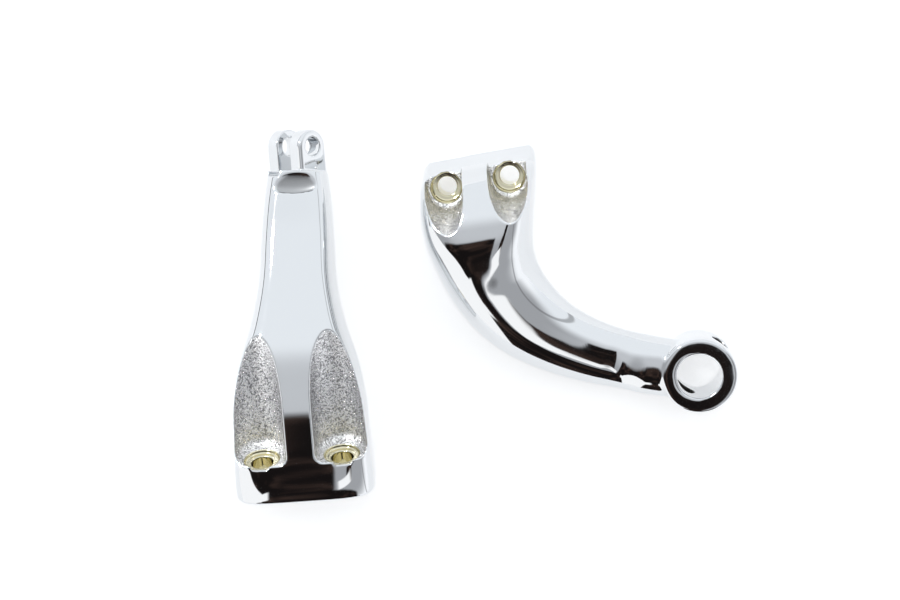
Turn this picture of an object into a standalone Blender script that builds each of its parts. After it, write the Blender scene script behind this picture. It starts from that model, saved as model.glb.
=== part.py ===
"""Footpeg mount set: two chromed castings that lie side by side.

Each casting has a bolting pad with two bolt pockets and a tapered arm. The right one sweeps sideways
into an eye with a cross pin hole. The left one runs straight into a two-eared fork.

A casting is modelled in its own frame: x runs across the pad from bolt to bolt, y is the side on which
the bolt pockets open, and z leaves the mounting face along the bolts. An empty then turns it to the way
it comes to rest. Sizes are in millimetres, and MM turns them into metres.
"""

import math

import bmesh
import bpy
from mathutils import Euler, Matrix, Vector

MM = 0.001

# Right mount: pad and bolts
RIGHT_PAD_WIDTH = 60.0
RIGHT_PAD_END = 9.3
RIGHT_PAD_FLOOR = 20.0
RIGHT_PAD_CROWN = 3.5
RIGHT_PAD_FLARE = 5.2
RIGHT_PAD_CROWN_AT = 0.5
RIGHT_BOLT_SPACING = 31.75
RIGHT_BOLT_SHIFT = -1.8
RIGHT_BOLT_HOLE = 9.5
RIGHT_SEAT_WIDTH = 15.0
RIGHT_SEAT_DEPTH = 5.5
RIGHT_POCKET_RADIUS = 9.6
RIGHT_POCKET_FILLET = 3.0
RIGHT_POCKET_DRAFT = 17.0
RIGHT_POCKET_TOP = 80.0

# Right mount: arm and eye
RIGHT_REACH_SIDE = 90.5
RIGHT_REACH_DOWN = 112.8
RIGHT_ELBOW_SWING = 16.0
RIGHT_ELBOW_DROP = 48.0
RIGHT_EYE_LEAD = 90.5
RIGHT_EYE_DROP = 22.0
RIGHT_SQUARE_UNTIL = 0.4
RIGHT_EYE_DIAMETER = 37.6
RIGHT_EYE_BORE = 22.5
RIGHT_EYE_BACK = 9.0
RIGHT_EYE_LENGTH = 24.5
RIGHT_EYE_ROUND = 1.4
RIGHT_CROSS_HOLE = 9.8
RIGHT_CROSS_TURN = 44.0
RIGHT_CROSS_DEPTH = 5.0

# Left mount: pad and bolts
LEFT_PAD_WIDTH = 68.0
LEFT_PAD_END = 10.2
LEFT_PAD_DEPTH = 33.5
LEFT_PAD_FLOOR = 21.0
LEFT_BOLT_SPACING = 39.5
LEFT_BOLT_HOLE = 11.0
LEFT_SEAT_WIDTH = 17.0
LEFT_SEAT_DEPTH = 1.8
LEFT_POCKET_RADIUS = 12.8
LEFT_POCKET_FILLET = 4.5
LEFT_POCKET_DRAFT = 5.5
LEFT_POCKET_TOP = 120.0

# Left mount: arm and fork
LEFT_FORK_RISE = 151.0
LEFT_FORK_DROP = 84.0
LEFT_FORK_SHIFT = -6.5
LEFT_ROOT_RISE = 45.0
LEFT_FORK_LEAD = 72.0
LEFT_ARM_BOW = 6.0
LEFT_FORK_LEAN = 27.0
LEFT_EAR_THICKNESS = 8.2
LEFT_EAR_WIDTH = 17.0
LEFT_SLOT_WIDTH = 9.2
LEFT_SLOT_DEPTH = 13.0
LEFT_PIN_HOLE = 9.2
LEFT_FORK_ROLL = -45.0
LEFT_FORK_PITCH = 9.0
LEFT_FORK_STEM = 20.0
LEFT_FORK_ROUND = 1.6
LEFT_SCOOP_WIDTH = 33.0
LEFT_SCOOP_LENGTH = 16.0
LEFT_SCOOP_DEPTH = 5.2
LEFT_SCOOP_TILT = 15.0
LEFT_SCOOP_SETBACK = 16.8
LEFT_SCOOP_FRONT = 15.6

# How each casting lies, as turns about x, y and z in degrees, and where, across the floor
RIGHT_TURN = (10.9, -6.4, 9.5)
RIGHT_PLACE = (15.2, 64.0)
LEFT_TURN = (63.0, 0.0, 184.0)
LEFT_PLACE = (-73.5, -94.4)

# Fineness
RING_POINTS = 48
ARM_RINGS = 34
BORE_POINTS = 40
POCKET_ARC_POINTS = 14
SCOOP_POINTS = 24
FILLET_STEPS = 3
RING_CROWDING = 1.5
POCKET_OPENING = 4.0
PAST_SURFACE = 6.0
SHARP_ANGLE = 35.0

# Finish
CHROME_COLOUR = (0.55, 0.56, 0.58)
CHROME_ROUGHNESS = 0.08

# Sections along each arm: share of the spine, half width, front height and back height from the spine,
# front squareness, back squareness, and how much narrower the front is than the back
RIGHT_SECTIONS = (
    (0.00, 0.440, 21.0, -2.0, 8.0, 9.0, 0.02),
    (0.01, 0.475, 29.0, -2.0, 7.0, 9.0, 0.03),
    (0.03, 0.490, 36.0, -2.0, 6.0, 9.0, 0.04),
    (0.06, 0.490, 42.5, -2.0, 5.0, 9.0, 0.06),
    (0.12, 0.480, 49.5, -2.0, 4.5, 9.0, 0.09),
    (0.20, 0.455, 52.0, 4.0, 4.0, 7.0, 0.12),
    (0.30, 0.415, 50.0, 7.5, 3.3, 5.0, 0.16),
    (0.42, 0.385, 45.5, 8.5, 2.8, 4.0, 0.18),
    (0.55, 0.350, 41.0, 9.0, 2.5, 3.6, 0.18),
    (0.68, 0.300, 36.5, 9.5, 2.4, 3.4, 0.17),
    (0.80, 0.262, 32.0, 10.0, 2.4, 3.2, 0.15),
    (0.85, 0.250, 30.5, 10.0, 2.5, 3.2, 0.14),
    (0.90, 0.252, 32.5, 10.0, 2.8, 3.0, 0.12),
    (1.00, 0.245, 32.5, 10.5, 3.0, 3.0, 0.12),
)
LEFT_SECTIONS = (
    (0.00, 0.500, 0.48, 0.48, 4.6, 7.0, 0.02),
    (0.01, 0.514, 0.50, 0.50, 4.6, 7.0, 0.02),
    (0.12, 0.508, 0.50, 0.50, 4.8, 7.0, 0.03),
    (0.22, 0.497, 0.51, 0.48, 5.4, 6.0, 0.05),
    (0.33, 0.490, 0.57, 0.46, 6.0, 5.0, 0.08),
    (0.42, 0.465, 0.62, 0.46, 6.0, 4.2, 0.13),
    (0.50, 0.425, 0.64, 0.47, 6.0, 3.8, 0.17),
    (0.60, 0.352, 0.60, 0.49, 5.5, 3.4, 0.17),
    (0.72, 0.293, 0.53, 0.50, 5.0, 3.2, 0.15),
    (0.84, 0.272, 0.47, 0.48, 4.5, 3.0, 0.13),
    (0.93, 0.250, 0.44, 0.45, 4.0, 2.8, 0.11),
    (1.00, 0.222, 0.41, 0.42, 3.5, 2.6, 0.10),
)


def clear_scene():
    for thing in list(bpy.data.objects):
        bpy.data.objects.remove(thing)


def chrome(name, colour, roughness):
    """Plated metal: a Principled material with the casting's colour and polish."""
    material = bpy.data.materials.new(name)
    material.use_nodes = True
    shader = material.node_tree.nodes["Principled BSDF"]
    shader.inputs["Base Color"].default_value = (*colour, 1.0)
    shader.inputs["Metallic"].default_value = 1.0
    shader.inputs["Roughness"].default_value = roughness
    return material


def add_object(name, bm, parent):
    """Turns a bmesh, drawn in millimetres, into an object that hangs from the casting's empty."""
    bmesh.ops.scale(bm, vec=(MM, MM, MM), verts=bm.verts)
    bmesh.ops.recalc_face_normals(bm, faces=bm.faces)
    mesh = bpy.data.meshes.new(name)
    bm.to_mesh(mesh)
    bm.free()
    thing = bpy.data.objects.new(name, mesh)
    thing.parent = parent
    bpy.context.scene.collection.objects.link(thing)
    return thing


def boolean(thing, tool, operation):
    tool.hide_render = True
    tool.display_type = "WIRE"
    modifier = thing.modifiers.new(tool.name, "BOOLEAN")
    modifier.operation = operation
    modifier.solver = "EXACT"
    modifier.object = tool


def bezier(points, share):
    """A point on a cubic curve, and the curve's direction there."""
    rest = 1.0 - share
    start, leave, arrive, end = points
    place = start * rest**3 + leave * (3 * rest**2 * share)
    place += arrive * (3 * rest * share**2) + end * share**3
    along = (leave - start) * rest**2 + (arrive - leave) * (2 * rest * share) + (end - arrive) * share**2
    return place, along.normalized()


def smooth_row(rows, share):
    """Reads a table of sections between its rows, along a smooth curve through them."""
    last = len(rows) - 2
    index = 0
    while index < last and rows[index + 1][0] < share:
        index += 1
    before = rows[max(index - 1, 0)]
    low, high = rows[index], rows[index + 1]
    after = rows[min(index + 2, last + 1)]
    gap = high[0] - low[0]
    part = (share - low[0]) / gap
    values = []
    for item in range(1, len(low)):
        low_slope = gap * (high[item] - before[item]) / max(high[0] - before[0], gap)
        high_slope = gap * (after[item] - low[item]) / max(after[0] - low[0], gap)
        values.append(
            low[item] * (2 * part**3 - 3 * part**2 + 1)
            + low_slope * (part**3 - 2 * part**2 + part)
            + high[item] * (3 * part**2 - 2 * part**3)
            + high_slope * (part**3 - part**2)
        )
    return values


def section_point(turn, half_width, front, back, front_square, back_square, narrowing):
    """A point of a rounded, nearly square section, as how far it lies sideways and forwards."""
    across, forward = math.cos(turn), math.sin(turn)
    square = front_square if forward > 0 else back_square
    radius = (abs(across) ** square + abs(forward) ** square) ** (-1.0 / square)
    across *= radius
    forward *= radius
    centre, half_depth = (front + back) / 2, (front - back) / 2
    return half_width * across * (1 - narrowing * max(forward, 0.0)), centre + half_depth * forward


def bridge_rings(bm, rings):
    """Joins the rings in order with faces, and closes the first and the last."""
    for first, second in zip(rings, rings[1:]):
        bmesh.ops.bridge_loops(bm, edges=first + second)
    for ring in (rings[0], rings[-1]):
        bmesh.ops.contextual_create(bm, geom=ring)


def add_ring(bm, points):
    """A closed loop of edges through the points."""
    verts = [bm.verts.new(point) for point in points]
    return [bm.edges.new(pair) for pair in zip(verts, verts[1:] + verts[:1])]


def strip_end(bm, ring):
    """Splits the flat face that closes a ring into strips, so that it follows the ring's bend."""
    verts = [edge.verts[0] for edge in ring]
    for low, high in zip(verts[1:], verts[:0:-1]):
        if verts.index(low) < verts.index(high):
            bmesh.ops.connect_verts(bm, verts=[low, high])


def ring_shares(count):
    """Shares of the spine, closer together at the pad, where the shape changes fastest."""
    return [(step / (count - 1)) ** RING_CROWDING for step in range(count)]


def right_spine():
    end = Vector((RIGHT_REACH_SIDE, -RIGHT_REACH_DOWN, 0))
    start = Vector((0, RIGHT_PAD_END, 0))
    leave = Vector((-RIGHT_ELBOW_SWING, -RIGHT_ELBOW_DROP, 0))
    return start, leave, end + Vector((-RIGHT_EYE_LEAD, RIGHT_EYE_DROP, 0)), end


def right_arm(parent):
    """Pad and arm in one loft, cut flat at the mounting face."""
    bm = bmesh.new()
    rings = []
    for share in ring_shares(ARM_RINGS):
        place, along = bezier(right_spine(), share)
        turned_in = min(share / RIGHT_SQUARE_UNTIL, 1.0)
        side = Vector((0, -1, 0)).lerp(along, turned_in).normalized().cross(Vector((0, 0, -1)))
        width, front, back, *shape = smooth_row(RIGHT_SECTIONS, share)
        points = []
        for step in range(RING_POINTS):
            across, forward = section_point(
                math.tau * step / RING_POINTS, width * RIGHT_PAD_WIDTH, front, back, *shape
            )
            point = place + side * across + Vector((0, 0, forward))
            from_crown = (point.x - RIGHT_PAD_CROWN_AT) / RIGHT_PAD_WIDTH * 2
            point.y -= RIGHT_PAD_CROWN * (1 - turned_in) * from_crown**2
            point.y += RIGHT_PAD_FLARE * (1 - turned_in) * max(1 - point.z / RIGHT_PAD_FLOOR, 0)
            points.append(point)
        rings.append(add_ring(bm, points))
    bridge_rings(bm, rings)
    strip_end(bm, rings[0])
    whole = list(bm.verts) + list(bm.edges) + list(bm.faces)
    cut = bmesh.ops.bisect_plane(
        bm, geom=whole, plane_co=(0, 0, 0), plane_no=(0, 0, -1), clear_outer=True
    )
    edges = [item for item in cut["geom_cut"] if isinstance(item, bmesh.types.BMEdge)]
    bmesh.ops.contextual_create(bm, geom=edges)
    return add_object("right_mount", bm, parent)


def turned(name, parent, profile, points, frame=None):
    """A solid of revolution about z: the profile is pairs of radius and height."""
    bm = bmesh.new()
    verts = [bm.verts.new((radius, 0, height)) for radius, height in profile]
    edges = [bm.edges.new(pair) for pair in zip(verts, verts[1:])]
    bmesh.ops.spin(
        bm, geom=verts + edges, axis=(0, 0, 1), cent=(0, 0, 0), steps=points, angle=math.tau, use_merge=True
    )
    bmesh.ops.remove_doubles(bm, verts=bm.verts, dist=MM)
    bmesh.ops.transform(bm, matrix=frame or Matrix(), verts=bm.verts)
    return add_object(name, bm, parent)


def rod(name, parent, radius, low, high, frame=None):
    return turned(name, parent, ((0, low), (radius, low), (radius, high), (0, high)), BORE_POINTS, frame)


def eye_body(parent):
    """The eye's outside: a short drum with rounded edges."""
    radius, low, high = RIGHT_EYE_DIAMETER / 2, RIGHT_EYE_BACK, RIGHT_EYE_BACK + RIGHT_EYE_LENGTH
    profile = [(0, low)]
    for base, way in ((low, 1), (high, -1)):
        turns = [math.pi / 2 * step / FILLET_STEPS for step in range(FILLET_STEPS + 1)]
        for turn in turns[::way]:
            inset, lift = RIGHT_EYE_ROUND * (1 - math.sin(turn)), RIGHT_EYE_ROUND * (1 - math.cos(turn))
            profile.append((radius - inset, base + way * lift))
    profile.append((0, high))
    place = Matrix.Translation((RIGHT_REACH_SIDE, -RIGHT_REACH_DOWN, 0))
    return turned("right_eye", parent, profile, RING_POINTS, place)


def pocket(name, parent, bolt, floor, radius, fillet, draft, height):
    """Cutter for a bolt pocket: open towards +y, oval at the back where it draws out, with a round floor edge."""
    bm = bmesh.new()
    turns = [math.pi / 2 * step / FILLET_STEPS for step in range(FILLET_STEPS + 1)]
    levels = [(fillet * (1 - math.sin(turn)), floor + fillet * (1 - math.cos(turn))) for turn in turns]
    levels.append((0, height))
    rings = []
    for inset, level in levels:
        inner = radius - inset
        back = inner + (level - floor) * math.tan(math.radians(draft))
        outline = [(bolt + inner, POCKET_OPENING * radius)]
        for step in range(POCKET_ARC_POINTS + 1):
            turn = -math.pi * step / POCKET_ARC_POINTS
            outline.append((bolt + inner * math.cos(turn), back * math.sin(turn)))
        outline.append((bolt - inner, POCKET_OPENING * radius))
        rings.append(add_ring(bm, [(x, y, level) for x, y in outline]))
    bridge_rings(bm, rings)
    return add_object(name, bm, parent)


def bolt_hole(name, parent, bolt, floor, seat, seat_depth, hole):
    """Cutter for a bolt's hole, stepped where its head sits."""
    step = floor - seat_depth
    profile = (
        (0, -PAST_SURFACE),
        (hole / 2, -PAST_SURFACE),
        (hole / 2, step),
        (seat / 2, step),
        (seat / 2, floor + PAST_SURFACE),
        (0, floor + PAST_SURFACE),
    )
    return turned(name, parent, profile, BORE_POINTS, Matrix.Translation((bolt, 0, 0)))


def cut_bolt_places(casting, parent, side, bolts, floor, pocket_sizes, hole_sizes):
    """Cuts a pocket and a stepped hole at each bolt."""
    for label, bolt in zip("ab", bolts):
        boolean(casting, pocket(f"{side}_pocket_{label}", parent, bolt, floor, *pocket_sizes), "DIFFERENCE")
        boolean(casting, bolt_hole(f"{side}_bolt_{label}", parent, bolt, floor, *hole_sizes), "DIFFERENCE")


def make_right_mount(parent):
    casting = right_arm(parent)
    boolean(casting, eye_body(parent), "UNION")
    eye = Matrix.Translation((RIGHT_REACH_SIDE, -RIGHT_REACH_DOWN, 0))
    low, high = RIGHT_EYE_BACK - PAST_SURFACE, RIGHT_EYE_BACK + RIGHT_EYE_LENGTH + PAST_SURFACE
    boolean(casting, rod("right_eye_bore", parent, RIGHT_EYE_BORE / 2, low, high, eye), "DIFFERENCE")
    middle = Matrix.Translation((0, 0, RIGHT_EYE_BACK + RIGHT_EYE_LENGTH / 2))
    across = Matrix.Rotation(math.radians(RIGHT_CROSS_TURN), 4, "Z") @ Matrix.Rotation(math.pi / 2, 4, "Y")
    reach = RIGHT_EYE_DIAMETER / 2 + PAST_SURFACE
    bottom = -RIGHT_EYE_BORE / 2 - RIGHT_CROSS_DEPTH
    cross = rod("right_cross_hole", parent, RIGHT_CROSS_HOLE / 2, bottom, reach, eye @ middle @ across)
    boolean(casting, cross, "DIFFERENCE")
    half = RIGHT_BOLT_SPACING / 2
    bolts = (RIGHT_BOLT_SHIFT - half, RIGHT_BOLT_SHIFT + half)
    pocket_sizes = (RIGHT_POCKET_RADIUS, RIGHT_POCKET_FILLET, RIGHT_POCKET_DRAFT, RIGHT_POCKET_TOP)
    hole_sizes = (RIGHT_SEAT_WIDTH, RIGHT_SEAT_DEPTH, RIGHT_BOLT_HOLE)
    cut_bolt_places(casting, parent, "right", bolts, RIGHT_PAD_FLOOR, pocket_sizes, hole_sizes)
    return casting


def left_spine():
    middle = LEFT_PAD_END - LEFT_PAD_DEPTH / 2
    start = Vector((0, middle, 0))
    end = Vector((LEFT_FORK_SHIFT, -LEFT_FORK_DROP, LEFT_FORK_RISE)) - fork_along() * LEFT_SLOT_DEPTH
    arrive = end - fork_along() * LEFT_FORK_LEAD + Vector((LEFT_ARM_BOW, 0, 0))
    return start, start + Vector((0, 0, LEFT_ROOT_RISE)), arrive, end


def fork_along():
    lean = math.radians(LEFT_FORK_LEAN)
    return Vector((0, -math.sin(lean), math.cos(lean)))


def left_arm(parent):
    """Pad and arm in one loft, whose first ring is the mounting face."""
    bm = bmesh.new()
    rings = []
    for share in ring_shares(ARM_RINGS):
        place, along = bezier(left_spine(), share)
        front = Vector((1, 0, 0)).cross(along).normalized()
        side = along.cross(front)
        width, forward, backward, *shape = smooth_row(LEFT_SECTIONS, share)
        points = []
        for step in range(RING_POINTS):
            across, ahead = section_point(
                math.tau * step / RING_POINTS,
                width * LEFT_PAD_WIDTH,
                forward * LEFT_PAD_DEPTH,
                -backward * LEFT_PAD_DEPTH,
                *shape,
            )
            points.append(place + side * across - front * ahead)
        rings.append(add_ring(bm, points))
    bridge_rings(bm, rings)
    return add_object("left_mount", bm, parent)


def fork_frame():
    """Origin at the pin, z along the arm towards the tip, x along the pin."""
    place = Matrix.Translation((LEFT_FORK_SHIFT, -LEFT_FORK_DROP, LEFT_FORK_RISE))
    lean = Matrix.Rotation(math.radians(LEFT_FORK_LEAN - LEFT_FORK_PITCH), 4, "X")
    return place @ lean @ Matrix.Rotation(math.radians(LEFT_FORK_ROLL), 4, "Z")


def fork_block(parent):
    """Both ears in one block with a round tip about the pin."""
    bm = bmesh.new()
    half, radius = LEFT_SLOT_WIDTH / 2 + LEFT_EAR_THICKNESS, LEFT_EAR_WIDTH / 2
    outline = [(radius, -LEFT_FORK_STEM)]
    for step in range(POCKET_ARC_POINTS + 1):
        turn = math.pi * step / POCKET_ARC_POINTS
        outline.append((radius * math.cos(turn), radius * math.sin(turn)))
    outline.append((-radius, -LEFT_FORK_STEM))
    rings = [add_ring(bm, [(side, y, z) for y, z in outline]) for side in (-half, half)]
    bridge_rings(bm, rings)
    rim = [edge for ring in rings for edge in ring]
    bmesh.ops.bevel(
        bm, geom=rim, offset=LEFT_FORK_ROUND, segments=2, profile=0.5, affect="EDGES", material=-1
    )
    bmesh.ops.transform(bm, matrix=fork_frame(), verts=bm.verts)
    return add_object("left_fork", bm, parent)


def block(name, parent, low, high, frame):
    bm = bmesh.new()
    bmesh.ops.create_cube(bm, size=1)
    size = [top - bottom for bottom, top in zip(low, high)]
    middle = [(top + bottom) / 2 for bottom, top in zip(low, high)]
    bmesh.ops.scale(bm, vec=size, verts=bm.verts)
    bmesh.ops.translate(bm, vec=middle, verts=bm.verts)
    bmesh.ops.transform(bm, matrix=frame, verts=bm.verts)
    return add_object(name, bm, parent)


def scoop(parent):
    """Cutter for the shallow hollow across the front of the arm, just below the fork."""
    bm = bmesh.new()
    bmesh.ops.create_uvsphere(bm, u_segments=SCOOP_POINTS, v_segments=SCOOP_POINTS, radius=1)
    size = (LEFT_SCOOP_WIDTH / 2, LEFT_SCOOP_DEPTH / 2, LEFT_SCOOP_LENGTH / 2)
    bmesh.ops.scale(bm, vec=size, verts=bm.verts)
    place = Matrix.Translation((LEFT_FORK_SHIFT, -LEFT_FORK_DROP, LEFT_FORK_RISE))
    lean = Matrix.Rotation(math.radians(LEFT_FORK_LEAN), 4, "X")
    front = Matrix.Translation((0, LEFT_SCOOP_FRONT, -LEFT_SCOOP_SETBACK))
    tilt = Matrix.Rotation(math.radians(-LEFT_SCOOP_TILT), 4, "X")
    bmesh.ops.transform(bm, matrix=place @ lean @ front @ tilt, verts=bm.verts)
    return add_object("left_scoop", bm, parent)


def make_left_mount(parent):
    casting = left_arm(parent)
    boolean(casting, fork_block(parent), "UNION")
    half, slot = LEFT_SLOT_WIDTH / 2 + LEFT_EAR_THICKNESS, LEFT_SLOT_WIDTH / 2
    wide = LEFT_EAR_WIDTH * 2
    top = LEFT_EAR_WIDTH / 2 + PAST_SURFACE
    low, high = (-slot, -wide, -LEFT_SLOT_DEPTH), (slot, wide, top)
    boolean(casting, block("left_slot", parent, low, high, fork_frame()), "DIFFERENCE")
    across = Matrix.Rotation(math.pi / 2, 4, "Y")
    reach = half + PAST_SURFACE
    pin = rod("left_pin_hole", parent, LEFT_PIN_HOLE / 2, -reach, reach, fork_frame() @ across)
    boolean(casting, pin, "DIFFERENCE")
    boolean(casting, scoop(parent), "DIFFERENCE")
    bolts = (-LEFT_BOLT_SPACING / 2, LEFT_BOLT_SPACING / 2)
    pocket_sizes = (LEFT_POCKET_RADIUS, LEFT_POCKET_FILLET, LEFT_POCKET_DRAFT, LEFT_POCKET_TOP)
    hole_sizes = (LEFT_SEAT_WIDTH, LEFT_SEAT_DEPTH, LEFT_BOLT_HOLE)
    cut_bolt_places(casting, parent, "left", bolts, LEFT_PAD_FLOOR, pocket_sizes, hole_sizes)
    return casting


def add_frame(name, turn, place):
    """The empty that turns a casting to the way it lies."""
    frame = bpy.data.objects.new(name, None)
    frame.rotation_euler = Euler([math.radians(angle) for angle in turn])
    frame.location = (place[0] * MM, place[1] * MM, 0)
    bpy.context.scene.collection.objects.link(frame)
    return frame


def corners(thing):
    """Lowest and highest corner of a casting in the world, with its cuts made."""
    bpy.context.view_layer.update()
    made = thing.evaluated_get(bpy.context.evaluated_depsgraph_get())
    places = [made.matrix_world @ vert.co for vert in made.data.vertices]
    low = Vector([min(place[axis] for place in places) for axis in range(3)])
    high = Vector([max(place[axis] for place in places) for axis in range(3)])
    return low, high


def settle(castings, frames):
    """Lowers each casting onto the floor, and centres the set over the origin."""
    boxes = [corners(casting) for casting in castings]
    for frame, (low, high) in zip(frames, boxes):
        frame.location.z -= low.z
    middle = [
        (min(low[axis] for low, high in boxes) + max(high[axis] for low, high in boxes)) / 2 for axis in range(2)
    ]
    for frame in frames:
        frame.location.x -= middle[0]
        frame.location.y -= middle[1]


def main():
    clear_scene()
    right_frame = add_frame("right_frame", RIGHT_TURN, RIGHT_PLACE)
    left_frame = add_frame("left_frame", LEFT_TURN, LEFT_PLACE)
    right = make_right_mount(right_frame)
    left = make_left_mount(left_frame)
    plating = chrome("chrome plating", CHROME_COLOUR, CHROME_ROUGHNESS)
    for casting in (right, left):
        casting.data.materials.append(plating)
        casting.data.shade_smooth()
        casting.data.set_sharp_from_angle(angle=math.radians(SHARP_ANGLE))
    settle((right, left), (right_frame, left_frame))


main()
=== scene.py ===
"""Footpeg mount set: two chromed castings lying side by side on a pale floor.

Each casting is lofted, cut and rounded in its own frame, in millimetres: x runs across the pad from bolt
to bolt, y is the side on which the bolt pockets open, and z leaves the mounting face along the bolts.
The finished mesh is then turned to the way the casting comes to rest and set on its solid's place.
"""

import math

import bmesh
import bpy
from mathutils import Euler, Matrix, Vector
from mathutils.bvhtree import BVHTree


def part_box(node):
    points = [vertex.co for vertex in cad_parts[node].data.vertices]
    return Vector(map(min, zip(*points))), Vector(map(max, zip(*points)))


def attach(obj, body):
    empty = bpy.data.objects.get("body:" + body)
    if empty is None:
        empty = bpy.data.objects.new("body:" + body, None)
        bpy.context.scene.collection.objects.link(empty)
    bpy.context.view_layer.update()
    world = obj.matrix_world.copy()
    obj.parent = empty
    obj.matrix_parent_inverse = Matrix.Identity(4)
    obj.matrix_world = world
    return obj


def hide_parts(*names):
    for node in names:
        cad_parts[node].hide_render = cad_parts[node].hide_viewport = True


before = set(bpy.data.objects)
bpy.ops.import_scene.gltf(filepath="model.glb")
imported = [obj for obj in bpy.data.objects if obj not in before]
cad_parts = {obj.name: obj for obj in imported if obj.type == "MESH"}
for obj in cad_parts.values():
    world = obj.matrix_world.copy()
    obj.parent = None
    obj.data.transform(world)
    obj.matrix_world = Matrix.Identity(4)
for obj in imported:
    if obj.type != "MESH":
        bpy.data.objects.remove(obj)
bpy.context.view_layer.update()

MM = 0.001

# Right mount: pad and bolts
RIGHT_PAD_WIDTH = 60.0
RIGHT_PAD_END = 9.3
RIGHT_PAD_FLOOR = 20.0
RIGHT_PAD_CROWN = 3.5
RIGHT_PAD_FLARE = 5.2
RIGHT_PAD_CROWN_AT = 0.5
RIGHT_BOLT_SPACING = 31.75
RIGHT_BOLT_SHIFT = -1.8
RIGHT_BOLT_HOLE = 9.5
RIGHT_SEAT_WIDTH = 15.0
RIGHT_SEAT_DEPTH = 5.5
RIGHT_POCKET_RADIUS = 9.6
RIGHT_POCKET_FILLET = 3.0
RIGHT_POCKET_DRAFT = 17.0
RIGHT_POCKET_TOP = 80.0

# Right mount: arm and eye
RIGHT_REACH_SIDE = 90.5
RIGHT_REACH_DOWN = 112.8
RIGHT_ELBOW_SWING = 16.0
RIGHT_ELBOW_DROP = 48.0
RIGHT_EYE_LEAD = 90.5
RIGHT_EYE_DROP = 22.0
RIGHT_SQUARE_UNTIL = 0.4
RIGHT_EYE_DIAMETER = 37.6
RIGHT_EYE_BORE = 22.5
RIGHT_EYE_BACK = 9.0
RIGHT_EYE_LENGTH = 24.5
RIGHT_EYE_ROUND = 1.4
RIGHT_CROSS_HOLE = 9.8
RIGHT_CROSS_TURN = 44.0
RIGHT_CROSS_DEPTH = 5.0

# Left mount: pad and bolts
LEFT_PAD_WIDTH = 68.0
LEFT_PAD_END = 10.2
LEFT_PAD_DEPTH = 33.5
LEFT_PAD_FLOOR = 21.0
LEFT_BOLT_SPACING = 39.5
LEFT_BOLT_HOLE = 11.0
LEFT_SEAT_WIDTH = 17.0
LEFT_SEAT_DEPTH = 1.8
LEFT_POCKET_RADIUS = 12.8
LEFT_POCKET_FILLET = 4.5
LEFT_POCKET_DRAFT = 5.5
LEFT_POCKET_TOP = 120.0

# Left mount: arm and fork
LEFT_FORK_RISE = 151.0
LEFT_FORK_DROP = 84.0
LEFT_FORK_SHIFT = -6.5
LEFT_ROOT_RISE = 45.0
LEFT_FORK_LEAD = 72.0
LEFT_ARM_BOW = 6.0
LEFT_FORK_LEAN = 27.0
LEFT_EAR_THICKNESS = 8.2
LEFT_EAR_WIDTH = 17.0
LEFT_SLOT_WIDTH = 9.2
LEFT_SLOT_DEPTH = 13.0
LEFT_PIN_HOLE = 9.2
LEFT_FORK_ROLL = -45.0
LEFT_FORK_PITCH = 9.0
LEFT_FORK_STEM = 20.0
LEFT_FORK_ROUND = 1.6
LEFT_SCOOP_WIDTH = 33.0
LEFT_SCOOP_LENGTH = 16.0
LEFT_SCOOP_DEPTH = 5.2
LEFT_SCOOP_TILT = 15.0
LEFT_SCOOP_SETBACK = 16.8
LEFT_SCOOP_FRONT = 15.6

# How each casting lies, as turns about x, y and z in degrees
RIGHT_TURN = (10.9, -6.4, 9.5)
LEFT_TURN = (63.0, 0.0, 184.0)

# Sections along each arm: share of the spine, half width, front height and back height from the spine,
# front squareness, back squareness, and how much narrower the front is than the back
RIGHT_SECTIONS = (
    (0.00, 0.440, 21.0, -2.0, 8.0, 9.0, 0.02),
    (0.01, 0.475, 29.0, -2.0, 7.0, 9.0, 0.03),
    (0.03, 0.490, 36.0, -2.0, 6.0, 9.0, 0.04),
    (0.06, 0.490, 42.5, -2.0, 5.0, 9.0, 0.06),
    (0.12, 0.480, 49.5, -2.0, 4.5, 9.0, 0.09),
    (0.20, 0.455, 52.0, 4.0, 4.0, 7.0, 0.12),
    (0.30, 0.415, 50.0, 7.5, 3.3, 5.0, 0.16),
    (0.42, 0.385, 45.5, 8.5, 2.8, 4.0, 0.18),
    (0.55, 0.350, 41.0, 9.0, 2.5, 3.6, 0.18),
    (0.68, 0.300, 36.5, 9.5, 2.4, 3.4, 0.17),
    (0.80, 0.262, 32.0, 10.0, 2.4, 3.2, 0.15),
    (0.85, 0.250, 30.5, 10.0, 2.5, 3.2, 0.14),
    (0.90, 0.252, 32.5, 10.0, 2.8, 3.0, 0.12),
    (1.00, 0.245, 32.5, 10.5, 3.0, 3.0, 0.12),
)
LEFT_SECTIONS = (
    (0.00, 0.500, 0.48, 0.48, 4.6, 7.0, 0.02),
    (0.01, 0.514, 0.50, 0.50, 4.6, 7.0, 0.02),
    (0.12, 0.508, 0.50, 0.50, 4.8, 7.0, 0.03),
    (0.22, 0.497, 0.51, 0.48, 5.4, 6.0, 0.05),
    (0.33, 0.490, 0.57, 0.46, 6.0, 5.0, 0.08),
    (0.42, 0.465, 0.62, 0.46, 6.0, 4.2, 0.13),
    (0.50, 0.425, 0.64, 0.47, 6.0, 3.8, 0.17),
    (0.60, 0.352, 0.60, 0.49, 5.5, 3.4, 0.17),
    (0.72, 0.293, 0.53, 0.50, 5.0, 3.2, 0.15),
    (0.84, 0.272, 0.47, 0.48, 4.5, 3.0, 0.13),
    (0.93, 0.250, 0.44, 0.45, 4.0, 2.8, 0.11),
    (1.00, 0.222, 0.41, 0.42, 3.5, 2.6, 0.10),
)

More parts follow.
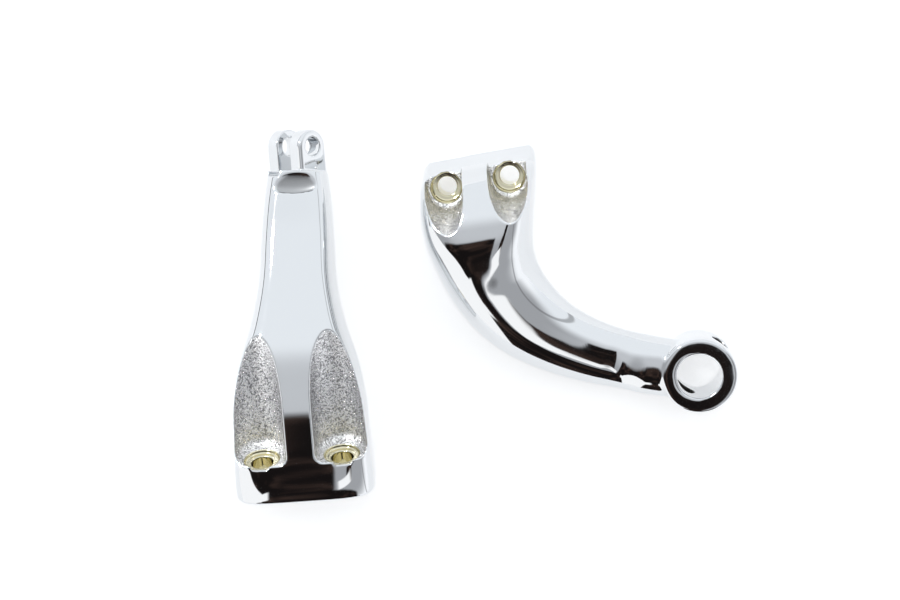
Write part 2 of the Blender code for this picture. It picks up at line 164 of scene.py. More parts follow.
# Fineness of the visible surface
RING_POINTS = 320
ARM_RINGS = 240
BORE_POINTS = 160
POCKET_ARC_POINTS = 64
FILLET_STEPS = 10
PAST_SURFACE = 6.0
GRAIN = 0.36
SMOOTHING = 9
COLLAR_SMOOTHING = 70
MOST_TRIANGLES = 190000
NEAR_HOLE_TINT = 0.14
RING_BUNCHING = 1.5
POCKET_MOUTH = 4
JOINT_REACH = 5.0
# How far the cross hole and the scoop are darkened: thin plating there, plus painted shade in these hollows
CROSS_HOLE_BARENESS_AND_SHADE = 1.0
SCOOP_BARENESS_AND_SHADE = 0.45

# Colours of the plating, as red, green and blue
POLISHED = (0.72, 0.735, 0.75)
CAST_DARK = (0.30, 0.30, 0.32)
CAST_BRIGHT = (0.99, 0.99, 1.0)
WARM_TINT = (0.74, 0.70, 0.52)
# Near-black base colour for the cross hole and scoop: thin plating plus painted shade in the hollows
BARE_AND_SHADED_HOLLOW = (0.05, 0.045, 0.04)

# Colours of the room, as red, green and blue
WALL_LOW = (1.25, 1.27, 1.30)
WALL_HIGH = (0.46, 0.47, 0.49)
CEILING = (0.70, 0.72, 0.75)
FAR_SIDE = (1.06, 1.10, 1.14)
CORNER_LINE = (0.2, 0.2, 0.21)
SKIRTING = (0.03, 0.028, 0.026)
DARKEST = (0.010, 0.008, 0.008)
DARK_CLUTTER = (0.060, 0.038, 0.031)
STRIP_LIGHT = (1.25, 1.25, 1.25)

# The strip light's curve in the room: y is BEND times x squared, plus SLOPE times x, less DROP
STRIP_BEND = 0.397
STRIP_SLOPE = 0.394
STRIP_DROP = 0.768

# Lamp and camera
LAMP_STRENGTH = 2.2
LAMP_SPREAD = 7
LAMP_FROM = (-0.57, 0.35, 0.75)
SENSOR_WIDTH = 36.0
CAMERA_LENS = 70.4
CAMERA_PLACE = (-18.25, 7.5, 900)


def bezier(points, share):
    """A point on a cubic curve, and the curve's direction there."""
    rest = 1.0 - share
    start, leave, arrive, end = points
    place = start * rest**3 + leave * (3 * rest**2 * share)
    place += arrive * (3 * rest * share**2) + end * share**3
    along = (leave - start) * rest**2 + (arrive - leave) * (2 * rest * share) + (end - arrive) * share**2
    return place, along.normalized()


def smooth_row(rows, share):
    """Reads a table of sections between its rows, along a smooth curve through them."""
    last = len(rows) - 2
    index = 0
    while index < last and rows[index + 1][0] < share:
        index += 1
    before = rows[max(index - 1, 0)]
    low, high = rows[index], rows[index + 1]
    after = rows[min(index + 2, last + 1)]
    gap = high[0] - low[0]
    part = (share - low[0]) / gap
    values = []
    for item in range(1, len(low)):
        low_slope = gap * (high[item] - before[item]) / max(high[0] - before[0], gap)
        high_slope = gap * (after[item] - low[item]) / max(after[0] - low[0], gap)
        values.append(
            low[item] * (2 * part**3 - 3 * part**2 + 1)
            + low_slope * (part**3 - 2 * part**2 + part)
            + high[item] * (3 * part**2 - 2 * part**3)
            + high_slope * (part**3 - part**2)
        )
    return values


def section_point(across, forward, half_width, front, back, front_square, back_square, narrowing):
    """Moves a point of the unit circle out to a rounded, nearly square section."""
    square = front_square if forward > 0 else back_square
    radius = (abs(across) ** square + abs(forward) ** square) ** (-1.0 / square)
    across *= radius
    forward *= radius
    centre, half_depth = (front + back) / 2, (front - back) / 2
    return half_width * across * (1 - narrowing * max(forward, 0.0)), centre + half_depth * forward


def ring_shares():
    """Shares of the spine, closer together at the pad, where the shape changes fastest."""
    return [(step / (ARM_RINGS - 1)) ** RING_BUNCHING for step in range(ARM_RINGS)]


def loft(bm, stations):
    """Skins a row of circles, each moved out to its section by its own function."""
    rings = []
    starts = []
    for shape in stations:
        ring = bmesh.ops.create_circle(bm, segments=RING_POINTS, radius=1.0)["verts"]
        starts = starts or ring[1:]
        rings.append({edge for vert in ring for edge in vert.link_edges})
        for vert in ring:
            vert.co = shape(vert.co.x, vert.co.y)
    for first, second in zip(rings, rings[1:]):
        bmesh.ops.bridge_loops(bm, edges=list(first | second))
    for ring in (rings[0], rings[-1]):
        bmesh.ops.contextual_create(bm, geom=list(ring))
    for low, high in zip(starts, reversed(starts)):
        if low.index < high.index:
            bmesh.ops.connect_verts(bm, verts=[low, high])
    bmesh.ops.recalc_face_normals(bm, faces=bm.faces)


def as_object(name, bm):
    """Makes the shape an object of the scene."""
    mesh = bpy.data.meshes.new(name)
    bm.to_mesh(mesh)
    bm.free()
    thing = bpy.data.objects.new(name, mesh)
    bpy.context.scene.collection.objects.link(thing)
    return thing


def right_spine():
    """The curve that the right arm follows, from the pad to the eye."""
    end = Vector((RIGHT_REACH_SIDE, -RIGHT_REACH_DOWN, 0))
    start = Vector((0, RIGHT_PAD_END, 0))
    leave = Vector((-RIGHT_ELBOW_SWING, -RIGHT_ELBOW_DROP, 0))
    return start, leave, end + Vector((-RIGHT_EYE_LEAD, RIGHT_EYE_DROP, 0)), end


def right_station(share):
    """The function that moves a circle out to the right arm's section there."""
    place, along = bezier(right_spine(), share)
    turned_in = min(share / RIGHT_SQUARE_UNTIL, 1.0)
    side = Vector((0, -1, 0)).lerp(along, turned_in).normalized().cross(Vector((0, 0, -1)))
    width, front, back, *shape = smooth_row(RIGHT_SECTIONS, share)

    def put(across, ahead):
        across, forward = section_point(across, ahead, width * RIGHT_PAD_WIDTH, front, back, *shape)
        point = place + side * across + Vector((0, 0, forward))
        from_crown = (point.x - RIGHT_PAD_CROWN_AT) / RIGHT_PAD_WIDTH * 2
        point.y -= RIGHT_PAD_CROWN * (1 - turned_in) * from_crown**2
        point.y += RIGHT_PAD_FLARE * (1 - turned_in) * max(1 - point.z / RIGHT_PAD_FLOOR, 0)
        return point

    return put


def right_arm():
    """Pad and arm in one loft, cut flat at the mounting face."""
    bm = bmesh.new()
    loft(bm, [right_station(share) for share in ring_shares()])
    whole = list(bm.verts) + list(bm.edges) + list(bm.faces)
    cut = bmesh.ops.bisect_plane(
        bm, geom=whole, plane_co=(0, 0, 0), plane_no=(0, 0, -1), clear_outer=True
    )
    edges = [item for item in cut["geom_cut"] if isinstance(item, bmesh.types.BMEdge)]
    bmesh.ops.contextual_create(bm, geom=edges)
    return as_object("right_arm", bm)


def turned(name, profile, points, place=None):
    """A solid of revolution about z: the profile is pairs of radius and height."""
    bm = bmesh.new()
    verts = [bm.verts.new((radius, 0, height)) for radius, height in profile]
    edges = [bm.edges.new(pair) for pair in zip(verts, verts[1:])]
    bmesh.ops.spin(
        bm, geom=verts + edges, axis=(0, 0, 1), cent=(0, 0, 0), steps=points, angle=math.tau, use_merge=True
    )
    bmesh.ops.remove_doubles(bm, verts=bm.verts, dist=MM)
    bmesh.ops.recalc_face_normals(bm, faces=bm.faces)
    bmesh.ops.transform(bm, matrix=place or Matrix(), verts=bm.verts)
    return as_object(name, bm)


def rod(name, radius, low, high, place=None):
    """A plain cylinder along z."""
    return turned(name, ((0, low), (radius, low), (radius, high), (0, high)), BORE_POINTS, place)


def eye_body():
    """The eye's outside: a short drum with rounded edges."""
    radius, low, high = RIGHT_EYE_DIAMETER / 2, RIGHT_EYE_BACK, RIGHT_EYE_BACK + RIGHT_EYE_LENGTH
    profile = [(0, low)]
    for base, way in ((low, 1), (high, -1)):
        turns = [math.pi / 2 * step / FILLET_STEPS for step in range(FILLET_STEPS + 1)]
        for turn in turns[::way]:
            inset, lift = RIGHT_EYE_ROUND * (1 - math.sin(turn)), RIGHT_EYE_ROUND * (1 - math.cos(turn))
            profile.append((radius - inset, base + way * lift))
    profile.append((0, high))
    place = Matrix.Translation((RIGHT_REACH_SIDE, -RIGHT_REACH_DOWN, 0))
    return turned("right_eye", profile, RING_POINTS, place)


def pocket(name, bolt, radius, floor, fillet, draft, height):
    """Cutter for a bolt pocket: round at the bolt, open towards +y, with a fillet round its floor."""
    bm = bmesh.new()
    rings = []
    turns = [math.pi / 2 * step / FILLET_STEPS for step in range(FILLET_STEPS + 1)]
    levels = [(fillet * (1 - math.sin(turn)), floor + fillet * (1 - math.cos(turn))) for turn in turns]
    levels.append((0, height))
    for inset, level in levels:
        inner = radius - inset
        back = inner + (level - floor) * math.tan(math.radians(draft))
        outline = [(bolt + inner, POCKET_MOUTH * radius)]
        for step in range(POCKET_ARC_POINTS + 1):
            turn = -math.pi * step / POCKET_ARC_POINTS
            outline.append((bolt + inner * math.cos(turn), back * math.sin(turn)))
        outline.append((bolt - inner, POCKET_MOUTH * radius))
        verts = [bm.verts.new((x, y, level)) for x, y in outline]
        rings.append([bm.edges.new(pair) for pair in zip(verts, verts[1:] + verts[:1])])
    for first, second in zip(rings, rings[1:]):
        bmesh.ops.bridge_loops(bm, edges=first + second)
    for ring in (rings[0], rings[-1]):
        bmesh.ops.contextual_create(bm, geom=ring)
    bmesh.ops.recalc_face_normals(bm, faces=bm.faces)
    return as_object(name, bm)


def bolt_place(name, bolt, floor, seat, seat_depth, hole):
    """Cutter for a bolt hole with the spot face that its head sits on."""
    step = floor - seat_depth
    profile = (
        (0, -PAST_SURFACE),
        (hole / 2, -PAST_SURFACE),
        (hole / 2, step),
        (seat / 2, step),
        (seat / 2, floor + PAST_SURFACE),
        (0, floor + PAST_SURFACE),
    )
    return turned(name, profile, BORE_POINTS, Matrix.Translation((bolt, 0, 0)))


def left_spine():
    """The curve that the left arm follows, from the pad to the fork."""
    middle = LEFT_PAD_END - LEFT_PAD_DEPTH / 2
    start = Vector((0, middle, 0))
    end = Vector((LEFT_FORK_SHIFT, -LEFT_FORK_DROP, LEFT_FORK_RISE)) - fork_along() * LEFT_SLOT_DEPTH
    arrive = end - fork_along() * LEFT_FORK_LEAD + Vector((LEFT_ARM_BOW, 0, 0))
    return start, start + Vector((0, 0, LEFT_ROOT_RISE)), arrive, end


def fork_along():
    """The way the left arm points where it meets the fork."""
    lean = math.radians(LEFT_FORK_LEAN)
    return Vector((0, -math.sin(lean), math.cos(lean)))


def left_station(share):
    """The function that moves a circle out to the left arm's section there."""
    place, along = bezier(left_spine(), share)
    front = along.cross(Vector((1, 0, 0))).normalized()
    side = front.cross(along)
    width, forward, backward, *shape = smooth_row(LEFT_SECTIONS, share)
    half, depth = width * LEFT_PAD_WIDTH, LEFT_PAD_DEPTH

    def put(across, ahead):
        across, ahead = section_point(across, ahead, half, forward * depth, -backward * depth, *shape)
        return place + side * across + front * ahead

    return put


def left_arm():
    """Pad and arm in one loft, whose first ring is the mounting face."""
    bm = bmesh.new()
    loft(bm, [left_station(share) for share in ring_shares()])
    return as_object("left_arm", bm)


def fork_frame():
    """Origin at the pin, z along the arm towards the tip, x along the pin."""
    place = Matrix.Translation((LEFT_FORK_SHIFT, -LEFT_FORK_DROP, LEFT_FORK_RISE))
    lean = Matrix.Rotation(math.radians(LEFT_FORK_LEAN - LEFT_FORK_PITCH), 4, "X")
    return place @ lean @ Matrix.Rotation(math.radians(LEFT_FORK_ROLL), 4, "Z")


def fork_block():
    """Both ears in one block with a round tip about the pin."""
    bm = bmesh.new()
    half, radius = LEFT_SLOT_WIDTH / 2 + LEFT_EAR_THICKNESS, LEFT_EAR_WIDTH / 2
    outline = [(radius, -LEFT_FORK_STEM)]
    for step in range(POCKET_ARC_POINTS + 1):
        turn = math.pi * step / POCKET_ARC_POINTS
        outline.append((radius * math.cos(turn), radius * math.sin(turn)))
    outline.append((-radius, -LEFT_FORK_STEM))
    verts = [bm.verts.new((-half, y, z)) for y, z in outline]
    face = bmesh.ops.contextual_create(bm, geom=verts)["faces"]
    out = bmesh.ops.extrude_face_region(bm, geom=face, use_keep_orig=True)["geom"]
    moved = [item for item in out if isinstance(item, bmesh.types.BMVert)]
    bmesh.ops.translate(bm, vec=(2 * half, 0, 0), verts=moved)
    rim = [edge for edge in bm.edges if abs(edge.verts[0].co.x - edge.verts[1].co.x) < half]
    bmesh.ops.bevel(
        bm, geom=rim, offset=LEFT_FORK_ROUND, segments=4, profile=0.5, affect="EDGES", material=-1
    )
    bmesh.ops.recalc_face_normals(bm, faces=bm.faces)
    bmesh.ops.transform(bm, matrix=fork_frame(), verts=bm.verts)
    return as_object("left_fork", bm)


def fork_slot():
    """Cutter for the slot between the ears."""
    bm = bmesh.new()
    bmesh.ops.create_cube(bm, size=1)
    top = LEFT_EAR_WIDTH / 2 + PAST_SURFACE
    bmesh.ops.scale(bm, vec=(LEFT_SLOT_WIDTH, LEFT_EAR_WIDTH * 4, LEFT_SLOT_DEPTH + top), verts=bm.verts)
    bmesh.ops.translate(bm, vec=(0, 0, (top - LEFT_SLOT_DEPTH) / 2), verts=bm.verts)
    bmesh.ops.transform(bm, matrix=fork_frame(), verts=bm.verts)
    return as_object("left_slot", bm)


def scoop():
    """Cutter for the hollow across the front of the arm, just below the fork."""
    bm = bmesh.new()
    bmesh.ops.create_uvsphere(bm, u_segments=96, v_segments=64, radius=1)
    size = (LEFT_SCOOP_WIDTH / 2, LEFT_SCOOP_DEPTH / 2, LEFT_SCOOP_LENGTH / 2)
    bmesh.ops.scale(bm, vec=size, verts=bm.verts)
    place = Matrix.Translation((LEFT_FORK_SHIFT, -LEFT_FORK_DROP, LEFT_FORK_RISE))
    lean = Matrix.Rotation(math.radians(LEFT_FORK_LEAN), 4, "X")
    front = Matrix.Translation((0, LEFT_SCOOP_FRONT, -LEFT_SCOOP_SETBACK))
    tilt = Matrix.Rotation(math.radians(-LEFT_SCOOP_TILT), 4, "X")
    bmesh.ops.transform(bm, matrix=place @ lean @ front @ tilt, verts=bm.verts)
    return as_object("left_scoop", bm)


def evaluated_mesh(thing):
    """The object's mesh with its modifiers applied."""
    bpy.context.view_layer.update()
    return bpy.data.meshes.new_from_object(thing.evaluated_get(bpy.context.evaluated_depsgraph_get()))


def carve(casting, tools, joint=None):
    """Joins or cuts with each tool in turn, rounds every edge, and thins out the mesh but not its shading."""
    for tool, operation in tools:
        modifier = casting.modifiers.new(tool.name, "BOOLEAN")
        modifier.operation = operation
        modifier.solver = "MANIFOLD"
        modifier.object = tool
    grain = casting.modifiers.new("grain", "REMESH")
    grain.mode = "VOXEL"
    grain.voxel_size = GRAIN
    smooth = casting.modifiers.new("smooth", "SMOOTH")
    smooth.factor = 0.5
    smooth.iterations = SMOOTHING
    fine = bpy.data.objects.new("fine", evaluated_mesh(casting))
    bpy.context.scene.collection.objects.link(fine)
    if joint:
        soften_joint(fine, *joint)
    fine.data.shade_smooth()
    thin = bpy.data.objects.new("thin", evaluated_mesh(fine))
    bpy.context.scene.collection.objects.link(thin)
    fewer = thin.modifiers.new("fewer", "DECIMATE")
    fewer.ratio = MOST_TRIANGLES / (2 * len(thin.data.polygons))
    shading = thin.modifiers.new("shading", "DATA_TRANSFER")
    shading.object = fine
    shading.use_loop_data = True
    shading.data_types_loops = {"CUSTOM_NORMAL"}
    shading.loop_mapping = "POLYINTERP_NEAREST"
    mesh = evaluated_mesh(thin)
    clear_away([fine, thin])
    return mesh


def soften_joint(thing, first, second):
    """Smooths on where two shapes meet, which leaves a broad fillet between them."""
    group = thing.vertex_groups.new(name="joint")
    for vert in thing.data.vertices:
        near_first = first.find_nearest(vert.co)[3] < JOINT_REACH
        if near_first and second.find_nearest(vert.co)[3] < JOINT_REACH:
            apart = max(first.find_nearest(vert.co)[3], second.find_nearest(vert.co)[3])
            group.add([vert.index], 1 - ramp(apart, 1.0, JOINT_REACH), "REPLACE")
    smooth = thing.modifiers.new("collar", "SMOOTH")
    smooth.vertex_group = group.name
    smooth.factor = 0.5
    smooth.iterations = COLLAR_SMOOTHING


def tree_of(things):
    """One search tree over several closed shapes."""
    bm = bmesh.new()
    for thing in things:
        bm.from_mesh(thing.data)
    tree = BVHTree.FromBMesh(bm)
    bm.free()
    return tree


def ramp(value, low, high):
    """Goes softly from 0 to 1 as the number passes from low to high."""
    part = min(max((value - low) / (high - low), 0.0), 1.0)
    return part * part * (3 - 2 * part)


def mark_finish(mesh, outside, pockets, holes, bare_and_shade, bareness_and_shade):
    """Stores how rough-cast, how warm in tint and how dark each point is; the dark is thin plating plus
    painted shade in the cross hole and scoop.
    """
    layers = {name: mesh.attributes.new(name, "FLOAT", "POINT").data for name in ("cast", "warm", "bare_and_shade")}
    for index, vert in enumerate(mesh.vertices):
        from_outside = outside.find_nearest(vert.co)[3]
        from_pocket = pockets.find_nearest(vert.co)[3]
        from_hole = holes.find_nearest(vert.co)[3]
        in_hole = 1 - ramp(from_hole, 0.25, 0.7)
        layers["cast"][index].value = ramp(from_outside - from_pocket, 0.2, 0.7) * (1 - in_hole)
        near_hole = max(in_hole, NEAR_HOLE_TINT * (1 - ramp(from_hole, 0.7, 12.0)))
        layers["warm"][index].value = near_hole * ramp(from_outside, 0.3, 1.0)
        # Darkness in the cross hole and scoop: partly thin plating, partly painted shade in these hollows
        in_bare_and_shade = 1 - ramp(bare_and_shade.find_nearest(vert.co)[3], 0.3, 0.8)
        layers["bare_and_shade"][index].value = bareness_and_shade * in_bare_and_shade * ramp(from_outside, 0.3, 1.0)


def settle(name, node, mesh, turn):
    """Turns the mesh to the way the casting lies, sets it on its solid's place and shows it instead."""
    mesh.transform(Euler([math.radians(angle) for angle in turn]).to_matrix().to_4x4() @ Matrix.Scale(MM, 4))
    places = [vert.co for vert in mesh.vertices]
    low = Vector([min(place[axis] for place in places) for axis in range(3)])
    high = Vector([max(place[axis] for place in places) for axis in range(3)])
    solid_low, solid_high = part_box(node)
    shift = (solid_low + solid_high - low - high) / 2
    shift.z = solid_low.z - low.z
    mesh.transform(Matrix.Translation(shift))
    mesh.materials.clear()
    thing = bpy.data.objects.new(name, mesh)
    bpy.context.scene.collection.objects.link(thing)
    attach(thing, "root")
    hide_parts(node)
    return thing


def clear_away(things):
    """Removes the cutters and half-finished shapes."""
    for thing in things:
        bpy.data.objects.remove(thing)


def make_right_mount():
    """The swept casting: pad, arm and eye joined, then bored and pocketed."""
    arm, eye = right_arm(), eye_body()
    at_eye = Matrix.Translation((RIGHT_REACH_SIDE, -RIGHT_REACH_DOWN, 0))
    low, high = RIGHT_EYE_BACK - PAST_SURFACE, RIGHT_EYE_BACK + RIGHT_EYE_LENGTH + PAST_SURFACE
    bore = rod("right_eye_bore", RIGHT_EYE_BORE / 2, low, high, at_eye)
    middle = Matrix.Translation((0, 0, RIGHT_EYE_BACK + RIGHT_EYE_LENGTH / 2))
    across = Matrix.Rotation(math.radians(RIGHT_CROSS_TURN), 4, "Z") @ Matrix.Rotation(math.pi / 2, 4, "Y")
    reach = RIGHT_EYE_DIAMETER / 2 + PAST_SURFACE
    bottom = -RIGHT_EYE_BORE / 2 - RIGHT_CROSS_DEPTH
    cross = rod("right_cross_hole", RIGHT_CROSS_HOLE / 2, bottom, reach, at_eye @ middle @ across)
    pockets = []
    holes = []
    for label, way in (("a", -1), ("b", 1)):
        bolt = RIGHT_BOLT_SHIFT + way * RIGHT_BOLT_SPACING / 2
        pockets.append(
            pocket(
                f"right_pocket_{label}", bolt, RIGHT_POCKET_RADIUS, RIGHT_PAD_FLOOR,
                RIGHT_POCKET_FILLET, RIGHT_POCKET_DRAFT, RIGHT_POCKET_TOP
            )
        )
        holes.append(
            bolt_place(
                f"right_bolt_{label}", bolt, RIGHT_PAD_FLOOR,
                RIGHT_SEAT_WIDTH, RIGHT_SEAT_DEPTH, RIGHT_BOLT_HOLE
            )
        )
    outside = tree_of([arm, eye])
    tools = [(eye, "UNION")] + [(tool, "DIFFERENCE") for tool in [bore, cross] + pockets + holes]
    mesh = carve(arm, tools, (tree_of([arm]), tree_of([eye])))
    mark_finish(mesh, outside, tree_of(pockets), tree_of(holes), tree_of([cross]), CROSS_HOLE_BARENESS_AND_SHADE)
    clear_away([arm, eye, bore, cross] + pockets + holes)
    return settle("right_casting", "right_mount", mesh, RIGHT_TURN)


def make_left_mount():
    """The straight casting: pad, arm and fork joined, then slotted, bored and pocketed."""
    arm, fork, slot, hollow = left_arm(), fork_block(), fork_slot(), scoop()
    reach = LEFT_SLOT_WIDTH / 2 + LEFT_EAR_THICKNESS + PAST_SURFACE
    across = Matrix.Rotation(math.pi / 2, 4, "Y")
    pin = rod("left_pin_hole", LEFT_PIN_HOLE / 2, -reach, reach, fork_frame() @ across)
    pockets = []
    holes = []
    for label, bolt in (("a", -LEFT_BOLT_SPACING / 2), ("b", LEFT_BOLT_SPACING / 2)):
        pockets.append(
            pocket(
                f"left_pocket_{label}", bolt, LEFT_POCKET_RADIUS, LEFT_PAD_FLOOR,
                LEFT_POCKET_FILLET, LEFT_POCKET_DRAFT, LEFT_POCKET_TOP
            )
        )
        holes.append(
            bolt_place(
                f"left_bolt_{label}", bolt, LEFT_PAD_FLOOR,
                LEFT_SEAT_WIDTH, LEFT_SEAT_DEPTH, LEFT_BOLT_HOLE
            )
        )
    outside = tree_of([arm, fork])
    tools = [(fork, "UNION")] + [(tool, "DIFFERENCE") for tool in [slot, pin, hollow] + pockets + holes]
    mesh = carve(arm, tools)
    mark_finish(mesh, outside, tree_of(pockets), tree_of(holes), tree_of([hollow]), SCOOP_BARENESS_AND_SHADE)
    clear_away([arm, fork, slot, pin, hollow] + pockets + holes)
    return settle("left_casting", "left_mount", mesh, LEFT_TURN)


def add_node(tree, kind, **values):
    """Adds a node; a value for an input may be a constant or another node's output."""
    node = tree.nodes.new(kind)
    for name, value in values.items():
        socket = node.inputs.get(name.replace("_", " "))
        if socket is None:
            setattr(node, name, value)
        elif isinstance(value, bpy.types.NodeSocket):
            tree.links.new(value, socket)
        else:
            socket.default_value = value
    return node


def mix_colour(tree, share, first, second):
    """Fades from one colour to another; each may be a constant or another node's output."""
    node = add_node(tree, "ShaderNodeMix", data_type="RGBA")
    for socket, value in ((node.inputs["Factor"], share), (node.inputs[6], first), (node.inputs[7], second)):
        if isinstance(value, bpy.types.NodeSocket):
            tree.links.new(value, socket)
        elif isinstance(value, tuple):
            socket.default_value = (*value, 1.0)
        else:
            socket.default_value = value
    return node.outputs[2]


def maths(tree, operation, first, second):
    """One step of arithmetic; each value may be a constant or an output."""
    node = add_node(tree, "ShaderNodeMath", operation=operation)
    for socket, value in zip(node.inputs, (first, second)):
        if isinstance(value, bpy.types.NodeSocket):
            tree.links.new(value, socket)
        else:
            socket.default_value = value
    return node.outputs["Value"]


def product(tree, first, *others):
    """Multiplies all the values."""
    for other in others:
        first = maths(tree, "MULTIPLY", first, other)
    return first


def fade(tree, value, low, high):
    """Goes softly from 0 to 1 as the value passes from low to high."""
    node = add_node(tree, "ShaderNodeMapRange", interpolation_type="SMOOTHSTEP", Value=value)
    if low < high:
        bounds = (low, high, 0.0, 1.0)
    else:
        bounds = (high, low, 1.0, 0.0)
    for name, number in zip(("From Min", "From Max", "To Min", "To Max"), bounds):
        node.inputs[name].default_value = number
    return node.outputs["Result"]


def chrome_plating():
    """Bright plating: polished outside, rough-cast in the pockets, slightly warm in the bolt holes, and
    darkened by thin plating plus painted shade in the cross hole and scoop.
    """
    material = bpy.data.materials.new("chrome plating")
    material.use_nodes = True
    tree = material.node_tree
    shader = tree.nodes["Principled BSDF"]
    shader.inputs["Metallic"].default_value = 1.0
    place = add_node(tree, "ShaderNodeTexCoord").outputs["Object"]
    cast, warm, bare_and_shade = (
        add_node(tree, "ShaderNodeAttribute", attribute_name=name).outputs["Fac"]
        for name in ("cast", "warm", "bare_and_shade")
    )
    waves = add_node(tree, "ShaderNodeTexNoise", Vector=place, Scale=38.0, Detail=1.0).outputs["Fac"]
    haze = add_node(tree, "ShaderNodeTexNoise", Vector=place, Scale=260.0, Detail=3.0).outputs["Fac"]
    sand = add_node(tree, "ShaderNodeTexNoise", Vector=place, Scale=1700.0, Detail=3.0).outputs["Fac"]
    cells = add_node(tree, "ShaderNodeTexVoronoi", Vector=place, Scale=1900.0).outputs["Color"]
    chance = add_node(tree, "ShaderNodeSeparateColor", Color=cells).outputs["Red"]
    polished = add_node(tree, "ShaderNodeMapRange", Value=haze, To_Min=0.02, To_Max=0.06).outputs["Result"]
    roughness = maths(tree, "ADD", polished, maths(tree, "MULTIPLY", cast, 0.14))
    roughness = maths(tree, "ADD", roughness, maths(tree, "MULTIPLY", bare_and_shade, 0.5))
    tree.links.new(roughness, shader.inputs["Roughness"])
    speckled = mix_colour(tree, fade(tree, chance, 0.05, 0.50), CAST_DARK, CAST_BRIGHT)
    metal = mix_colour(tree, cast, POLISHED, speckled)
    tinted = mix_colour(tree, warm, metal, WARM_TINT)
    # Fades towards near-black where thin plating and painted shade darken the cross hole and scoop
    tree.links.new(mix_colour(tree, bare_and_shade, tinted, BARE_AND_SHADED_HOLLOW), shader.inputs["Base Color"])
    grain = maths(tree, "MULTIPLY", maths(tree, "ADD", sand, maths(tree, "MULTIPLY", chance, 0.35)), cast)
    height = maths(tree, "ADD", grain, maths(tree, "MULTIPLY", waves, 0.10))
    bump = add_node(tree, "ShaderNodeBump", Strength=1.0, Distance=0.00035, Height=height)
    tree.links.new(bump.outputs["Normal"], shader.inputs["Normal"])
    return material


def pale_floor():
    """A plain, nearly white floor with a faint light of its own."""
    bm = bmesh.new()
    bmesh.ops.create_grid(bm, x_segments=1, y_segments=1, size=3.0)
    floor = as_object("floor", bm)
    material = bpy.data.materials.new("pale floor")
    material.use_nodes = True
    shader = material.node_tree.nodes["Principled BSDF"]
    shader.inputs["Base Color"].default_value = (0.9, 0.9, 0.9, 1.0)
    shader.inputs["Roughness"].default_value = 0.7
    shader.inputs["Emission Color"].default_value = (1.0, 1.0, 1.0, 1.0)
    shader.inputs["Emission Strength"].default_value = 0.42
    floor.data.materials.append(material)


def band(tree, value, middle, half, soft):
    """1 within half of the middle, and 0 beyond the soft edge."""
    off = maths(tree, "ABSOLUTE", maths(tree, "SUBTRACT", value, middle), 0.0)
    return fade(tree, off, half + soft, half)


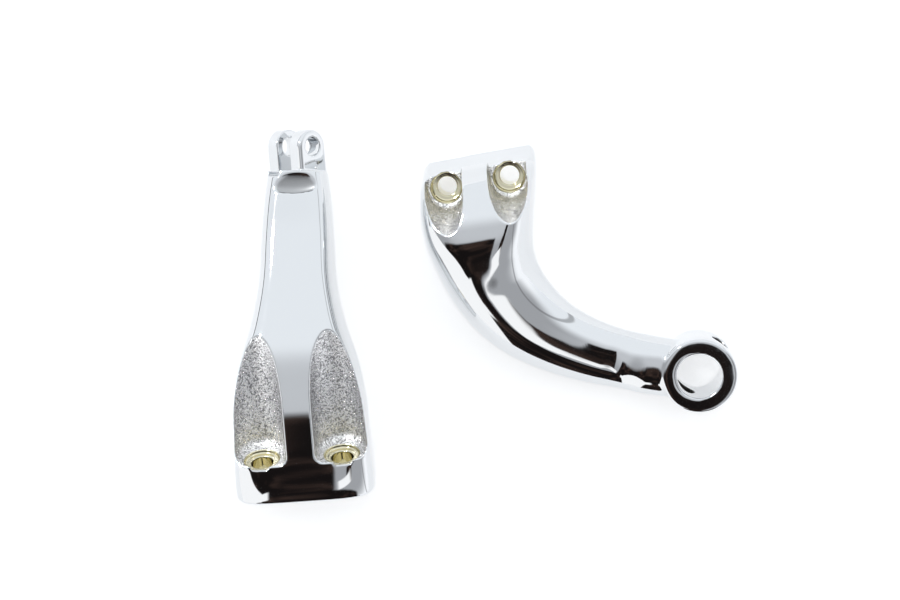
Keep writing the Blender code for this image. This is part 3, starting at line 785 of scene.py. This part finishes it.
def soft_room():
    """A white room, gray above, whose near side is a dark opening with a strip light across it."""
    world = bpy.data.worlds.new("soft room")
    world.use_nodes = True
    tree = world.node_tree
    toward = add_node(tree, "ShaderNodeTexCoord").outputs["Generated"]
    split = add_node(tree, "ShaderNodeSeparateXYZ", Vector=toward)
    x, y, z = (split.outputs[axis] for axis in "XYZ")
    clutter = add_node(tree, "ShaderNodeTexNoise", Vector=toward, Scale=7.0, Detail=4.0).outputs["Fac"]
    walls = mix_colour(tree, fade(tree, z, 0.16, 0.58), WALL_LOW, WALL_HIGH)
    ceiling = mix_colour(tree, fade(tree, z, 0.80, 0.97), walls, CEILING)
    room = mix_colour(tree, fade(tree, y, -0.12, 0.34), ceiling, FAR_SIDE)
    room = mix_colour(tree, product(tree, band(tree, x, 0.76, 0.012, 0.02), 0.6), room, CORNER_LINE)
    skirting = product(tree, band(tree, z, 0.07, 0.04, 0.03), fade(tree, x, 0.3, -0.1))
    skirting = product(tree, skirting, fade(tree, y, 0.90, 0.75))
    room = mix_colour(tree, maths(tree, "MULTIPLY", skirting, 0.9), room, SKIRTING)

    near = maths(tree, "SUBTRACT", maths(tree, "MULTIPLY", clutter, 0.08), y)
    opening = product(tree, fade(tree, near, 0.38, 0.46), fade(tree, x, 0.045, 0.015))
    opening = product(tree, opening, fade(tree, x, -0.62, -0.52))
    bend = maths(tree, "MULTIPLY", x, maths(tree, "ADD", maths(tree, "MULTIPLY", x, STRIP_BEND), STRIP_SLOPE))
    off = maths(tree, "SUBTRACT", y, maths(tree, "SUBTRACT", bend, STRIP_DROP))
    below = product(tree, fade(tree, off, -0.01, -0.03), fade(tree, y, -0.77, -0.80))
    below = product(tree, below, fade(tree, x, 0.42, 0.32))
    lean = maths(tree, "SUBTRACT", x, maths(tree, "ADD", maths(tree, "MULTIPLY", y, 0.33), 0.431))
    second = product(tree, band(tree, lean, 0.0, 0.045, 0.02), fade(tree, y, -0.70, -0.66))
    second = product(tree, second, fade(tree, y, 0.02, -0.08))
    dark = maths(tree, "MAXIMUM", maths(tree, "MAXIMUM", opening, below), second)
    low_left = product(tree, fade(tree, z, 0.40, 0.30), fade(tree, x, -0.36, -0.44))
    dark = product(tree, dark, maths(tree, "SUBTRACT", 1.0, low_left))
    shade = mix_colour(tree, fade(tree, clutter, 0.45, 0.72), DARKEST, DARK_CLUTTER)
    room = mix_colour(tree, dark, room, shade)
    widen = maths(tree, "MULTIPLY", maths(tree, "MAXIMUM", maths(tree, "SUBTRACT", -0.20, x), 0.0), 0.9)
    inside = maths(tree, "SUBTRACT", maths(tree, "ABSOLUTE", off, 0.0), widen)
    unbroken = maths(tree, "SUBTRACT", 1.0, band(tree, x, -0.04, 0.08, 0.03))
    strip = product(tree, fade(tree, inside, 0.050, 0.035), fade(tree, x, 0.30, 0.20), unbroken)
    room = mix_colour(tree, strip, room, STRIP_LIGHT)
    tree.links.new(room, tree.nodes["Background"].inputs["Color"])
    bpy.context.scene.world = world


def glint_lamp():
    """A small lamp that shows only as glints in the metal, high on the far left."""
    data = bpy.data.lights.new("glint lamp", "SUN")
    data.energy = LAMP_STRENGTH
    data.angle = math.radians(LAMP_SPREAD)
    lamp = bpy.data.objects.new("glint lamp", data)
    lamp.rotation_euler = Vector(LAMP_FROM).to_track_quat("Z", "Y").to_euler()
    lamp.visible_diffuse = False
    bpy.context.scene.collection.objects.link(lamp)


def overhead_camera():
    """Looks straight down, at the photograph's distance."""
    data = bpy.data.cameras.new("overhead")
    data.sensor_width = SENSOR_WIDTH
    data.lens = CAMERA_LENS
    camera = bpy.data.objects.new("overhead", data)
    camera.location = [value * MM for value in CAMERA_PLACE]
    bpy.context.scene.collection.objects.link(camera)
    bpy.context.scene.camera = camera


castings = [make_right_mount(), make_left_mount()]
plating = chrome_plating()
for casting in castings:
    casting.data.materials.append(plating)
pale_floor()
soft_room()
glint_lamp()
overhead_camera()
bpy.context.scene.view_settings.view_transform = "Standard"
